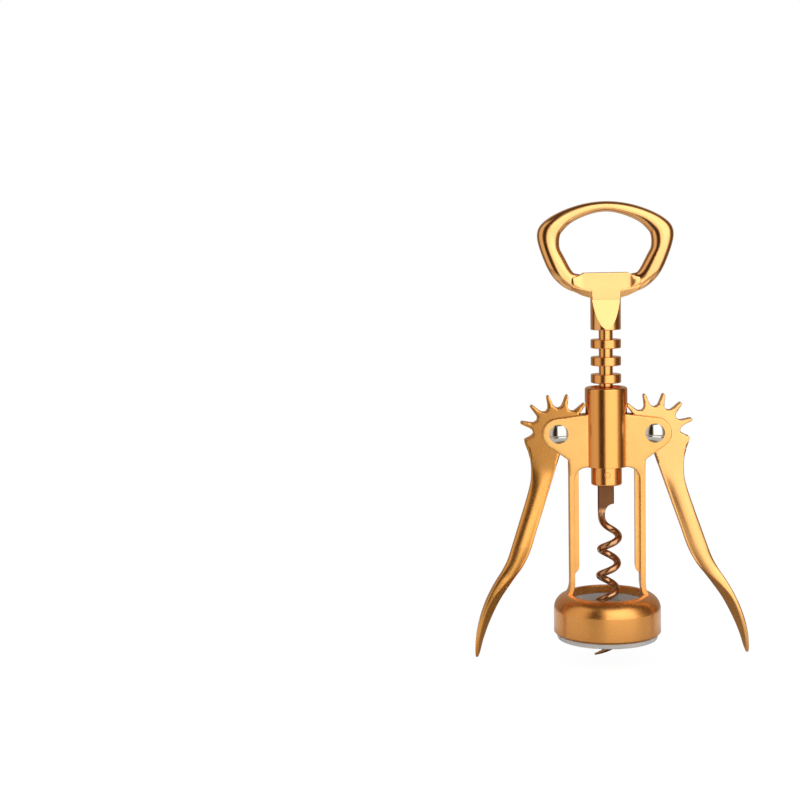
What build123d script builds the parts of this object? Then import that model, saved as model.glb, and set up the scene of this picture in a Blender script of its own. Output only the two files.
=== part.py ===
from build123d import *
import os
from math import atan2, cos, degrees, hypot, radians, sin, sqrt, tan

# Wing corkscrew: a plated zinc casting (barrel, ear plates, cage legs and bell) that carries a
# plastic liner and two geared levers. A handle on a spindle turns a wire worm, and a ringed
# rack sleeve on that spindle is lifted and lowered by the lever gears.
#
# Millimetres, +Z up along the worm. The origin is the centre of the liner's lower face, where the
# bottle stands. The levers lie on +X and -X and the front looks along -Y. The levers are modelled
# a little way open, the rack, handle and worm at the matching height.

# ---------------------------------------------------------------- driving sizes

# Bell, the cup that sits on the bottle
BELL_OD = 41.0
BELL_BOTTOM_Z = 1.9
BELL_TOP_Z = 17.5
BELL_SHOULDER_R = 5.9
BELL_RIM_WIDTH = 6.4
BELL_WALL = 1.15
BELL_RIM_DEPTH = 3.0
BELL_FOOT_CHAMFER = 0.9
BELL_LIP_FILLET = 0.4

# Liner, the plastic ring inside the bell
LINER_CLEARANCE = 0.1
LINER_WEB = 2.5
LINER_WALL = 3.3
LINER_LEDGE = 2.0
LINER_EDGE_R = 0.7
LINER_TOP_CHAMFER = 1.6

# Cage legs
LEG_INSET = 6.05
LEG_THICKNESS = 2.0
LEG_FOOT_OUT = 3.2
LEG_FOOT_IN = 1.6
LEG_FOOT_RISE = 4.4
LEG_FOOT_SINK = 2.0
RIB_STAND = 1.8
RIB_WIDTH = 2.4
RIB_BOTTOM_Z = 25.1
RIB_CHAMFER = 1.6
RIB_NOSE = 0.4
RIB_ROOT = 0.1

# Ear plates and barrel
PLATE_THICKNESS = 1.3
PLATE_BOTTOM_Z = 66.9
PLATE_TOP_Z = 87.1
PLATE_CORNER_Z = 73.5
PLATE_CORNER_R = 1.2
WINDOW_CORNER_R = 5.0
EAR_R = 5.8
EAR_OUTSET = 0.5
PLATE_LAP = 1.0
PLATE_EDGE = 0.25
BARREL_OD = 16.15
BARREL_TOP_Z = 97.3
BARREL_LIP_R = 1.0
BARREL_LIP_INNER_R = 0.4
BARREL_FIT = 0.3

# Lever gear
PIVOT_Z = 79.75
RACK_PITCH = 6.6
GEAR_PITCH_R = 13.2
RACK_PITCH_R = 5.0
GEAR_TIP_R = 15.1
GEAR_THICKNESS = 4.3
GEAR_EDGE = 0.25
GEAR_SIDE_GAP = 0.3
GEAR_POCKET_GAP = 0.45
TOOTH_COUNT = 8
FIRST_TOOTH_ANGLE = -0.3
TOOTH_TIP_WIDTH = 1.3
TOOTH_TIP_FILLET = 0.4
SHOULDER_ANGLE = -24.4
SHOULDER_R = 14.3
VALLEY_R = 2.35
VALLEY_SET = 2.3
LEFT_OPENING = 17.2
RIGHT_OPENING = 19.3

# Pivot rivets
RIVET_SHANK_R = 2.2
RIVET_HEAD_R = 3.8
RIVET_HEAD_H = 1.4
RIVET_FIT = 0.05
RIVET_SEAT_GAP = 0.02

# Rack sleeve, spindle and collar
RING_R = 5.75
RING_THICKNESS = 3.4
RING_FILLET = 0.4
RING_COUNT = 7
TOP_RING_Z = 113.75
SLEEVE_R = 2.65
SPINDLE_R = 1.7
SPINDLE_FIT = 0.05
END_PLAY = 0.1
COLLAR_R = 5.85
COLLAR_TOP_Z = 69.1
COLLAR_LENGTH = 9.45
COLLAR_FILLET = 0.8
SPINDLE_SEAT = 2.0
SPINDLE_TOP_DEPTH = 9.5

# Handle
NECK_BOTTOM_Z = 119.05
NECK_LENGTH = 14.0
NECK_FILLET = 0.35
NECK_FLAT_START = 0.6
PLATE_HALF_WIDTH = 8.3
LIP_Z = 140.65
WEB_HALF_THICKNESS = 1.55
WEB_BOTTOM_Z = 131.3
WEB_SHOULDER_OUT = 1.2
WEB_SHOULDER_DROP = 0.9
WEB_WING_X = 12.2
WEB_WING_DROP = 1.1
WEB_WING_RISE = 2.9
BAND_DEPTH_SIDE = 6.6
BAND_DEPTH_TOP = 5.4
BAND_DEPTH_FOOT = 4.4
BAND_ROOT_DEPTH = 2.5
OVAL_FULLNESS = 0.85

# Worm
WIRE_R = 1.35
COIL_R = 3.35
COIL_PITCH = 10.25
COIL_TOP_Z = 44.8
COIL_TURNS = 5
TIP_TURNS = 0.4
BEND_TURNS = 0.28
WORM_LEAN = 2.4
WORM_LEAN_Z = 13.0
TIP_R = 0.35
TIP_POINT = (-4.9, -0.6, -6.4)
TIP_HEADING = (1.0, -0.35, 0.35)
SHANK_WIDTH = 6.1
SHANK_THICKNESS = 2.6
SHANK_BOTTOM_Z = 49.0
SHANK_NOTCH_R = 3.4
SHANK_CHAMFER = 0.35
SHANK_OFFSET = -0.3
SHANK_FIT = 0.05
SHANK_TOP_GAP = 0.2
PIN_R = 1.0
PIN_FIT = 0.02
PIN_Z = 64.1

# ---------------------------------------------------------------- sizes that follow

BELL_R = BELL_OD / 2
BELL_BORE_R = BELL_R - BELL_WALL
BELL_OPENING_R = BELL_R - BELL_RIM_WIDTH
WEB_UNDER_Z = BELL_TOP_Z - BELL_RIM_DEPTH
LINER_R = BELL_BORE_R - LINER_CLEARANCE
LINER_TOP_Z = WEB_UNDER_Z - LINER_CLEARANCE
LINER_BORE_R = LINER_R - LINER_WALL
LINER_HOLE_R = LINER_BORE_R - LINER_LEDGE
GEAR_SLOT = GEAR_THICKNESS + 2 * GEAR_SIDE_GAP
CAGE_DEPTH = GEAR_SLOT + 2 * PLATE_THICKNESS
PIVOT_X = GEAR_PITCH_R + RACK_PITCH_R
TOOTH_STEP = degrees(RACK_PITCH / GEAR_PITCH_R)
POCKET_R = GEAR_TIP_R + GEAR_POCKET_GAP
VALLEY_CENTRE_R = GEAR_TIP_R - VALLEY_SET
BARREL_BORE_R = RING_R + BARREL_FIT
LEG_OUTER_X = BELL_R - LEG_INSET
LEG_INNER_X = LEG_OUTER_X - LEG_THICKNESS
COLLAR_BOTTOM_Z = COLLAR_TOP_Z - COLLAR_LENGTH
SPINDLE_BOTTOM_Z = COLLAR_TOP_Z - SPINDLE_SEAT
SPINDLE_TOP_Z = NECK_BOTTOM_Z + SPINDLE_TOP_DEPTH
SHANK_TOP_Z = SPINDLE_BOTTOM_Z - SHANK_TOP_GAP

FRONT = Plane.XZ


def tangent_point(point, centre, radius, side):
    """Point where a line from `point` touches a circle; side +1 or -1 picks which one."""
    dx = centre[0] - point[0]
    dz = centre[1] - point[1]
    distance = hypot(dx, dz)
    angle = atan2(dz, dx) + side * atan2(radius, sqrt(distance**2 - radius**2))
    reach = sqrt(distance**2 - radius**2)
    return (point[0] + reach * cos(angle), point[1] + reach * sin(angle))


def corner(sketch, x, z):
    """The sketch vertex nearest to (x, z) in the sketch's own plane."""
    return sketch.vertices().sort_by_distance((x, z, 0))[0]


def across(face, depth):
    """Extrude a face drawn as (x, z) to a slab centred on the XZ plane."""
    return extrude(FRONT * face, amount=depth / 2, both=True)


def side_edges(slab):
    """Edges of a slab's front and back faces."""
    return slab.faces().sort_by(Axis.Y)[0].edges() + slab.faces().sort_by(Axis.Y)[-1].edges()


def tube_about_z(profile):
    """Revolve a face drawn as (radius, z) about the worm axis."""
    return revolve(FRONT * profile, axis=Axis.Z, revolution_arc=360)


def cylinder_z(radius, bottom, top):
    """Upright cylinder on the worm axis."""
    return Pos(0, 0, (bottom + top) / 2) * Cylinder(radius, top - bottom)


def cylinder_y(radius, length, x, z):
    """Cylinder along Y, centred on the XZ plane."""
    return Pos(x, 0, z) * Rot(90, 0, 0) * Cylinder(radius, length)


# ---------------------------------------------------------------- frame casting

def bell():
    """Revolved cup: rounded shoulder, softened opening edge, chamfered foot."""
    arc_x = BELL_R - BELL_SHOULDER_R
    arc_z = BELL_TOP_Z - BELL_SHOULDER_R
    mid = BELL_SHOULDER_R * sin(radians(45))
    outline = Polyline(
        (arc_x, BELL_TOP_Z),
        (BELL_OPENING_R, BELL_TOP_Z),
        (BELL_OPENING_R, WEB_UNDER_Z),
        (BELL_BORE_R - BELL_WALL, WEB_UNDER_Z),
        (BELL_BORE_R, WEB_UNDER_Z - BELL_WALL),
        (BELL_BORE_R, BELL_BOTTOM_Z),
        (BELL_R - BELL_FOOT_CHAMFER, BELL_BOTTOM_Z),
        (BELL_R, BELL_BOTTOM_Z + BELL_FOOT_CHAMFER),
        (BELL_R, arc_z),
    )
    shoulder = ThreePointArc((BELL_R, arc_z), (arc_x + mid, arc_z + mid), (arc_x, BELL_TOP_Z))
    profile = make_face(outline + shoulder)
    profile = fillet(corner(profile, BELL_OPENING_R, BELL_TOP_Z), BELL_LIP_FILLET)
    return tube_about_z(profile)


def leg():
    """One cage leg on +X with its flared foot and the stiffening rib on its inner side."""
    foot_z = BELL_TOP_Z - LEG_FOOT_SINK
    flare_z = BELL_TOP_Z + LEG_FOOT_RISE
    outer_line = Polyline((LEG_INNER_X, flare_z), (LEG_INNER_X, PLATE_BOTTOM_Z),
                          (LEG_OUTER_X, PLATE_BOTTOM_Z), (LEG_OUTER_X, flare_z))
    outer_foot = Spline((LEG_OUTER_X, flare_z), (LEG_OUTER_X + LEG_FOOT_OUT, foot_z),
                        tangents=((0, -1), (1, -0.75)))
    base = Line((LEG_OUTER_X + LEG_FOOT_OUT, foot_z), (LEG_INNER_X + LEG_FOOT_IN, foot_z))
    inner_foot = Spline((LEG_INNER_X + LEG_FOOT_IN, foot_z), (LEG_INNER_X, flare_z),
                        tangents=((-0.35, 1), (0, 1)))
    strip = across(make_face(outer_line + outer_foot + base + inner_foot), CAGE_DEPTH)
    strip = fillet(side_edges(strip).filter_by(Axis.Z), PLATE_EDGE)
    rib_x = LEG_INNER_X - RIB_STAND
    root_x = LEG_INNER_X + RIB_ROOT
    rib_face = make_face(Polyline(
        (root_x, RIB_BOTTOM_Z), (rib_x + RIB_NOSE, RIB_BOTTOM_Z + RIB_CHAMFER),
        (rib_x, RIB_BOTTOM_Z + 2 * RIB_CHAMFER), (rib_x, PLATE_BOTTOM_Z),
        (root_x, PLATE_BOTTOM_Z), close=True))
    return strip + across(rib_face, RIB_WIDTH)


def ear_plate_face():
    """Outline of the cheek plate on +X: barrel side, ear round the pivot, corner to the leg."""
    ear = (PIVOT_X + EAR_OUTSET, PIVOT_Z)
    plate_x = BARREL_BORE_R + PLATE_LAP
    barrel_top = (plate_x, PLATE_TOP_Z)
    leg_corner = (LEG_OUTER_X, PLATE_CORNER_Z)
    top_touch = tangent_point(barrel_top, ear, EAR_R, 1)
    low_touch = tangent_point(leg_corner, ear, EAR_R, -1)
    tip = (ear[0] + EAR_R, ear[1])
    window_z = PLATE_BOTTOM_Z - WINDOW_CORNER_R - PLATE_LAP
    edge = Polyline(low_touch, leg_corner, (LEG_OUTER_X, window_z), (LEG_INNER_X, window_z),
                    (LEG_INNER_X, PLATE_BOTTOM_Z), (plate_x, PLATE_BOTTOM_Z),
                    barrel_top, top_touch)
    ear_arc = ThreePointArc(top_touch, tip, low_touch)
    face = make_face(edge + ear_arc)
    face = fillet(corner(face, *leg_corner), PLATE_CORNER_R)
    window_r = min(WINDOW_CORNER_R, LEG_INNER_X - plate_x - 2 * PLATE_EDGE)
    face = fillet(corner(face, LEG_INNER_X, PLATE_BOTTOM_Z), window_r)
    return face


def frame_casting():
    """Barrel, cheek plates, legs and bell as one casting, with gear pockets and bores."""
    plate = across(ear_plate_face(), CAGE_DEPTH)
    side = fillet(side_edges(plate), PLATE_EDGE) + leg()
    body = side + mirror(side, about=Plane.YZ)
    barrel = cylinder_z(BARREL_OD / 2, PLATE_BOTTOM_Z, BARREL_TOP_Z)
    barrel = fillet(barrel.edges().group_by(Axis.Z)[-1], BARREL_LIP_R)
    body = body + barrel
    body = body - cylinder_z(BARREL_BORE_R, PLATE_BOTTOM_Z - 1, BARREL_TOP_Z + 1)
    lip = body.edges().filter_by(GeomType.CIRCLE).filter_by_position(
        Axis.Z, BARREL_TOP_Z - 0.01, BARREL_TOP_Z + 0.01)
    body = fillet(lip, BARREL_LIP_INNER_R)
    for pivot_x in (-PIVOT_X, PIVOT_X):
        body = body - cylinder_y(POCKET_R, GEAR_SLOT, pivot_x, PIVOT_Z)
        body = body - cylinder_y(RIVET_SHANK_R + RIVET_FIT, CAGE_DEPTH + 1, pivot_x, PIVOT_Z)
    return body + bell()


def bell_liner():
    """Plastic ring: bottle bore below, a web with the worm hole above, rounded foot."""
    web_under = LINER_TOP_Z - LINER_WEB
    profile = make_face(Polyline(
        (LINER_BORE_R, 0), (LINER_R, 0), (LINER_R, LINER_TOP_Z - LINER_TOP_CHAMFER),
        (LINER_R - LINER_TOP_CHAMFER, LINER_TOP_Z), (LINER_HOLE_R, LINER_TOP_Z),
        (LINER_HOLE_R, web_under), (LINER_BORE_R, web_under), close=True))
    profile = fillet(corner(profile, LINER_R, 0), LINER_EDGE_R)
    profile = fillet(corner(profile, LINER_HOLE_R, LINER_TOP_Z), LINER_EDGE_R)
    return tube_about_z(profile)


# ---------------------------------------------------------------- levers

# Slices of the right lever's arm, closed, from the gear down to the tip. Each row: height below
# the pivot; outer edge, inner edge and ridge, all from the pivot, outward positive; half thickness
# of the outer rim, of the ridge and of the inner edge; crown of the face between rim and ridge.
# The ridge starts as the inner rim's edge and crosses to the outer side below the elbow.
ARM_SECTIONS = (
    (-12.0, 8.4, -2.8, -2.3, 2.00, 2.00, 2.00, 0.02),
    (-14.0, 7.5, -2.8, -2.3, 2.04, 2.04, 2.04, 0.04),
    (-17.0, 6.15, -2.8, -2.3, 2.04, 2.04, 2.04, 0.15),
    (-20.5, 5.2, -2.8, -2.3, 1.98, 1.98, 1.98, 0.35),
    (-24.5, 4.65, -2.8, -2.3, 1.90, 1.90, 1.90, 0.57),
    (-29.0, 4.5, -2.8, -2.3, 1.84, 1.84, 1.84, 0.73),
    (-33.5, 4.42, -2.75, -2.25, 1.80, 1.80, 1.80, 0.86),
    (-38.0, 4.4, -2.75, -2.25, 1.80, 1.80, 1.80, 0.92),
    (-42.5, 4.4, -2.75, -2.25, 1.80, 1.80, 1.80, 0.95),
    (-46.5, 4.43, -2.75, -2.2, 1.80, 1.80, 1.80, 0.95),
    (-50.0, 4.5, -2.5, -1.9, 1.80, 1.81, 1.80, 0.94),
    (-53.0, 4.55, -1.8, -1.2, 1.80, 1.85, 1.80, 0.90),
    (-55.5, 4.8, -1.0, -0.3, 1.90, 2.00, 1.75, 0.75),
    (-58.0, 5.4, -0.15, 0.85, 2.15, 2.35, 1.65, 0.55),
    (-61.0, 6.2, 0.8, 2.5, 2.55, 2.80, 1.45, 0.35),
    (-64.0, 6.9, 1.7, 4.1, 2.90, 3.15, 1.25, 0.20),
    (-67.5, 7.55, 2.7, 5.7, 3.20, 3.45, 1.05, 0.10),
    (-72.0, 8.1, 3.6, 6.7, 3.35, 3.60, 0.90, 0.08),
    (-78.5, 8.3, 4.4, 6.8, 3.20, 3.45, 0.85, 0.08),
    (-84.9, 7.7, 4.7, 6.2, 2.75, 2.95, 0.85, 0.08),
    (-90.1, 6.5, 4.5, 5.2, 1.90, 2.05, 0.80, 0.06),
    (-92.4, 5.7, 4.6, 4.9, 1.00, 1.10, 0.55, 0.03),
)
ARM_RIM = 0.5
CROWN_LEAD = 0.12


def valley_cutter():
    """Space between two gear teeth: a round root opening outward past the tooth tips."""
    half_open = GEAR_TIP_R * sin(radians(TOOTH_STEP / 2)) - TOOTH_TIP_WIDTH / 2
    root = Pos(VALLEY_CENTRE_R, 0) * Circle(VALLEY_R)
    lean = atan2(half_open - VALLEY_R, GEAR_TIP_R - VALLEY_CENTRE_R)
    side_x = VALLEY_CENTRE_R - VALLEY_R * sin(lean)
    side_z = VALLEY_R * cos(lean)
    reach = 1.2 * GEAR_TIP_R
    open_z = side_z + (reach - side_x) * tan(lean)
    mouth = make_face(Polyline((side_x, side_z), (reach, open_z), (reach, -open_z),
                               (side_x, -side_z), close=True))
    return root + mouth


def gear_face():
    """Hub and gear of the closed right lever, drawn round the pivot."""
    last_tooth = FIRST_TOOTH_ANGLE + (TOOTH_COUNT - 1) * TOOTH_STEP
    root_r = VALLEY_CENTRE_R - VALLEY_R
    far = 2 * GEAR_TIP_R
    gap_start = radians(last_tooth + TOOTH_STEP / 2)
    gap_end = radians(FIRST_TOOTH_ANGLE - TOOTH_STEP / 2)
    toothless = make_face(Polyline(
        (0, 0), (far * cos(gap_start), far * sin(gap_start)), (-far, -far), (far, -far),
        (far * cos(gap_end), far * sin(gap_end)), close=True))
    shoulder = (SHOULDER_R * cos(radians(SHOULDER_ANGLE)),
                SHOULDER_R * sin(radians(SHOULDER_ANGLE)))
    top_z, top_outer, top_inner = ARM_SECTIONS[0][:3]
    root_z, root_outer, root_inner = ARM_SECTIONS[1][:3]
    last_valley = (SHOULDER_R * cos(gap_end), SHOULDER_R * sin(gap_end))
    arm_root = make_face(Polyline(
        (0, 0), last_valley, shoulder, (top_outer, top_z), (root_outer, root_z),
        (root_inner, root_z), (top_inner, top_z), (top_inner, 0), close=True))
    face = Circle(GEAR_TIP_R) - toothless + Circle(root_r) + arm_root
    for index in range(TOOTH_COUNT + 1):
        angle = FIRST_TOOTH_ANGLE + (index - 0.5) * TOOTH_STEP
        face = face - Rot(0, 0, angle) * valley_cutter()
    tips = [v for v in face.vertices() if abs(hypot(v.X, v.Y) - GEAR_TIP_R) < 0.02]
    return fillet(tips, TOOTH_TIP_FILLET)


def arm_section(z, outer, inner, ridge, rim_half, ridge_half, inner_half, crown):
    """Horizontal slice of the arm: a rim, a crowned face up to the ridge and a flank behind it."""
    face_x = outer - ARM_RIM
    lead = CROWN_LEAD * (face_x - ridge)
    rise = crown * 4 / 3
    with BuildLine(Plane((0, 0, z))) as line:
        Line((outer, rim_half), (outer, -rim_half))
        for side in (-1, 1):
            Line((outer, side * rim_half), (face_x, side * rim_half))
            Bezier((face_x, side * rim_half), (face_x - lead, side * (rim_half + rise)),
                   (ridge + lead, side * (ridge_half + rise)), (ridge, side * ridge_half))
            Line((ridge, side * ridge_half), (inner, side * inner_half))
        Line((inner, -inner_half), (inner, inner_half))
    return make_face(line.wire())


def lever_closed():
    """Right lever about its pivot, hanging closed."""
    gear = across(gear_face(), GEAR_THICKNESS)
    gear = chamfer(side_edges(gear), GEAR_EDGE)
    arm = loft([arm_section(*row) for row in ARM_SECTIONS])
    return gear + arm - cylinder_y(RIVET_SHANK_R + RIVET_FIT, 2 * GEAR_THICKNESS, 0, 0)


def lever(opening, left):
    """Lever opened by `opening` degrees and put on its pivot."""
    piece = Pos(PIVOT_X, 0, PIVOT_Z) * Rot(0, -opening, 0) * lever_closed()
    return mirror(piece, about=Plane.YZ) if left else piece


def pivot_rivet(pivot_x):
    """Shank through both cheek plates with a polished dome at each end."""
    seat = CAGE_DEPTH / 2 + RIVET_SEAT_GAP
    top = seat + RIVET_HEAD_H
    sphere_r = (RIVET_HEAD_R**2 + RIVET_HEAD_H**2) / (2 * RIVET_HEAD_H)
    centre = top - sphere_r
    half_angle = atan2(RIVET_HEAD_R, seat - centre) / 2
    middle = (sphere_r * sin(half_angle), centre + sphere_r * cos(half_angle))
    outline = Polyline((0, top), (0, 0), (RIVET_SHANK_R, 0), (RIVET_SHANK_R, seat),
                       (RIVET_HEAD_R, seat))
    dome = ThreePointArc((RIVET_HEAD_R, seat), middle, (0, top))
    half = revolve(Plane.XY * make_face(outline + dome), axis=Axis.Y, revolution_arc=360)
    return Pos(pivot_x, 0, PIVOT_Z) * (half + mirror(half, about=Plane.XZ))


# ---------------------------------------------------------------- rack, spindle and collar

def rack_sleeve():
    """Turned sleeve with round rack rings, free to turn on the spindle."""
    top = NECK_BOTTOM_Z - END_PLAY
    bottom = COLLAR_TOP_Z + END_PLAY
    body = cylinder_z(SLEEVE_R, bottom, top)
    for index in range(RING_COUNT):
        middle = TOP_RING_Z - index * RACK_PITCH
        ring = cylinder_z(RING_R, middle - RING_THICKNESS / 2, middle + RING_THICKNESS / 2)
        body = body + fillet(ring.edges().filter_by(GeomType.CIRCLE), RING_FILLET)
    return body - cylinder_z(SPINDLE_R + SPINDLE_FIT, bottom - 1, top + 1)


def spindle():
    """Core rod from the handle's neck down into the collar."""
    return cylinder_z(SPINDLE_R, SPINDLE_BOTTOM_Z, SPINDLE_TOP_Z)


def worm_collar():
    """Collar below the rack that holds the worm's shank with a cross pin."""
    body = cylinder_z(COLLAR_R, COLLAR_BOTTOM_Z, COLLAR_TOP_Z)
    body = fillet(body.edges().group_by(Axis.Z)[0], COLLAR_FILLET)
    body = fillet(body.edges().group_by(Axis.Z)[-1], RING_FILLET)
    body = body - cylinder_z(SPINDLE_R + SPINDLE_FIT, SPINDLE_BOTTOM_Z, COLLAR_TOP_Z + 1)
    slot_height = SPINDLE_BOTTOM_Z - COLLAR_BOTTOM_Z + 1
    slot = Box(SHANK_WIDTH + 2 * SHANK_FIT, SHANK_THICKNESS + 2 * SHANK_FIT, slot_height)
    body = body - Pos(SHANK_OFFSET, 0, SPINDLE_BOTTOM_Z - slot_height / 2) * slot
    return body - cylinder_y(PIN_R + PIN_FIT, 4 * COLLAR_R, 0, PIN_Z)


# ---------------------------------------------------------------- worm

def coil_path(first_turn, last_turn):
    """Stretch of the coil's centre line, in turns counted up from the point."""
    rise = (last_turn - first_turn) * COIL_PITCH
    start_z = COIL_TOP_Z - (COIL_TURNS - first_turn) * COIL_PITCH
    start_angle = 180 - 360 * (COIL_TURNS - first_turn)
    stretch = Pos(0, 0, start_z) * Rot(0, 0, start_angle) * Helix(COIL_PITCH, rise, COIL_R)
    # the coil hangs a little off plumb, turned about a point low on the axis
    lean = Pos(0, 0, WORM_LEAN_Z) * Rot(0, WORM_LEAN, 0) * Pos(0, 0, -WORM_LEAN_Z)
    return lean * stretch


def wire_slice(path, place, radius):
    """Round slice of the wire square to its centre line."""
    return Plane(origin=path @ place, z_dir=path % place) * Circle(radius)


def worm():
    """Flat shank with a round notch, running on as the wire of a right-handed coil."""
    coil = coil_path(TIP_TURNS, COIL_TURNS - BEND_TURNS)
    wire = sweep(wire_slice(coil, 0, WIRE_R), path=coil)
    tip_path = Spline(TIP_POINT, coil @ 0, tangents=(TIP_HEADING, coil % 0))
    tip = sweep([wire_slice(tip_path, 0, TIP_R), wire_slice(tip_path, 1, WIRE_R)],
                path=tip_path, multisection=True)
    shank_left = SHANK_OFFSET - SHANK_WIDTH / 2
    wire_x = shank_left + WIRE_R
    bend = Spline(coil @ 1, (wire_x, 0, SHANK_BOTTOM_Z), (wire_x, 0, SHANK_BOTTOM_Z + WIRE_R),
                  tangents=(coil % 1, (0, 0, 1)))
    neck = sweep(wire_slice(bend, 0, WIRE_R), path=bend)
    shank_height = SHANK_TOP_Z - SHANK_BOTTOM_Z
    shank = Pos(SHANK_OFFSET, 0, SHANK_BOTTOM_Z + shank_height / 2) * Box(
        SHANK_WIDTH, SHANK_THICKNESS, shank_height)
    shank = chamfer(shank.edges().filter_by(Axis.Z), SHANK_CHAMFER)
    shank = shank - cylinder_y(
        SHANK_NOTCH_R, SHANK_WIDTH, shank_left + SHANK_WIDTH, SHANK_BOTTOM_Z)
    shank = shank - cylinder_y(PIN_R + PIN_FIT, SHANK_WIDTH, 0, PIN_Z)
    return shank + neck + wire + tip


def worm_pin():
    """Cross pin that holds the shank in the collar, flush at both ends."""
    return cylinder_y(PIN_R, 2 * COLLAR_R, 0, PIN_Z) & cylinder_z(
        COLLAR_R, COLLAR_BOTTOM_Z, COLLAR_TOP_Z)


# ---------------------------------------------------------------- handle

# Chords across the handle's band, from the top centre down the right side to the bottom: outer
# point, inner point, depth of the band. Heights are from the web's top edge. The last chord lies
# inside the web.
BAND_CHORDS = (
    ((0.0, 26.8), (0.0, 22.9), BAND_DEPTH_TOP),
    ((7.9, 26.0), (6.3, 21.8), BAND_DEPTH_TOP),
    ((15.3, 23.8), (11.9, 19.4), BAND_DEPTH_TOP + 0.3),
    ((21.1, 20.9), (15.5, 16.4), BAND_DEPTH_SIDE - 0.3),
    ((24.8, 17.5), (17.0, 14.1), BAND_DEPTH_SIDE),
    ((25.6, 13.1), (17.3, 11.1), BAND_DEPTH_SIDE),
    ((23.3, 5.3), (16.4, 7.8), BAND_DEPTH_SIDE),
    ((20.7, -0.1), (14.1, 3.4), BAND_DEPTH_SIDE - 0.3),
    ((16.8, -4.5), (11.8, 0.0), BAND_DEPTH_FOOT + 0.6),
    ((11.2, -7.2), (9.0, -0.8), BAND_DEPTH_FOOT - 0.4),
    ((6.2, -8.2), (5.4, -1.4), BAND_ROOT_DEPTH),
)


def band_section(outer, inner, depth):
    """Oval slice of the handle's band across one chord."""
    wide = hypot(outer[0] - inner[0], outer[1] - inner[1]) / 2
    deep = depth / 2
    middle = ((outer[0] + inner[0]) / 2, 0, LIP_Z + (outer[1] + inner[1]) / 2)
    chord = (outer[0] - inner[0], 0, outer[1] - inner[1])
    plane = Plane(origin=middle, x_dir=chord, z_dir=(-chord[2], 0, chord[0]))
    corners = ((wide, deep), (-wide, deep), (-wide, -deep), (wide, -deep))
    ends = ((wide, 0), (0, deep), (-wide, 0), (0, -deep), (wide, 0))
    weights = (1, OVAL_FULLNESS, 1)
    quarters = [Bezier(ends[k], corners[k], ends[k + 1], weights=weights) for k in range(4)]
    return plane * make_face(quarters)


def handle_band():
    """Looped band of the handle, lofted through oval slices from foot to foot."""
    right = list(reversed(BAND_CHORDS))
    left = [((-outer[0], outer[1]), (-inner[0], inner[1]), depth)
            for outer, inner, depth in BAND_CHORDS[1:]]
    return loft([band_section(*chord) for chord in right + left])


def handle():
    """Neck with slanted flats, flat opener web and looped band."""
    neck_top = NECK_BOTTOM_Z + NECK_LENGTH
    neck = cylinder_z(RING_R, NECK_BOTTOM_Z, neck_top)
    neck = fillet(neck.edges().group_by(Axis.Z)[0], NECK_FILLET)
    flat_z = NECK_BOTTOM_Z + NECK_FLAT_START
    wedge = make_face(Polyline(
        (-RING_R, NECK_BOTTOM_Z), (RING_R, NECK_BOTTOM_Z), (RING_R, flat_z),
        (WEB_HALF_THICKNESS, neck_top), (-WEB_HALF_THICKNESS, neck_top), (-RING_R, flat_z),
        close=True))
    neck = neck & extrude(Plane.YZ * wedge, amount=2 * RING_R, both=True)
    half_web = ((PLATE_HALF_WIDTH, LIP_Z),
                (PLATE_HALF_WIDTH + WEB_SHOULDER_OUT, LIP_Z - WEB_SHOULDER_DROP),
                (WEB_WING_X, LIP_Z - WEB_WING_DROP),
                (WEB_WING_X, WEB_BOTTOM_Z + WEB_WING_RISE),
                (RING_R, WEB_BOTTOM_Z))
    other_half = [(-x, z) for x, z in reversed(half_web)]
    web_face = make_face(Polyline(*half_web, *other_half, close=True))
    web = across(web_face, 2 * WEB_HALF_THICKNESS)
    body = handle_band() + web + neck
    return body - cylinder_z(SPINDLE_R + SPINDLE_FIT, NECK_BOTTOM_Z - 1, SPINDLE_TOP_Z)


# ---------------------------------------------------------------- parts

def build_parts():
    """Every sub-part by name."""
    return {
        "frame_casting": frame_casting(),
        "bell_liner": bell_liner(),
        "lever_left": lever(LEFT_OPENING, left=True),
        "lever_right": lever(RIGHT_OPENING, left=False),
        "pivot_rivet_left": pivot_rivet(-PIVOT_X),
        "pivot_rivet_right": pivot_rivet(PIVOT_X),
        "rack_sleeve": rack_sleeve(),
        "spindle": spindle(),
        "worm_collar": worm_collar(),
        "worm": worm(),
        "worm_pin": worm_pin(),
        "handle": handle(),
    }


os.makedirs("parts", exist_ok=True)
for name, solid in build_parts().items():
    export_step(solid, f"parts/{name}.step")
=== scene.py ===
import math

import bpy
from mathutils import Matrix, Vector
from mathutils.geometry import delaunay_2d_cdt


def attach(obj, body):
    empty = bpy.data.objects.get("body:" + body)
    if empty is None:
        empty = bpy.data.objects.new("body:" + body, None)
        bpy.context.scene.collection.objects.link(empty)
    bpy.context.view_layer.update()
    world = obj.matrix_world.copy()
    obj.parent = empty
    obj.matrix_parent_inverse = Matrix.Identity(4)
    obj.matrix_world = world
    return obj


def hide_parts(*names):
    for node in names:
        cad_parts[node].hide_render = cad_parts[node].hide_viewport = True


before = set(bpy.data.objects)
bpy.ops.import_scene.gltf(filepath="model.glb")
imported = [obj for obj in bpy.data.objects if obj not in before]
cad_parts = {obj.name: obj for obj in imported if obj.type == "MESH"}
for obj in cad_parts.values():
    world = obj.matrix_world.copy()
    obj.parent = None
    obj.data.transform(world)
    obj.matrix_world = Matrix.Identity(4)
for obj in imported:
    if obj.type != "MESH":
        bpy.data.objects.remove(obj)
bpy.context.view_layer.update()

# ---------------------------------------------------------------- camera

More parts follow.
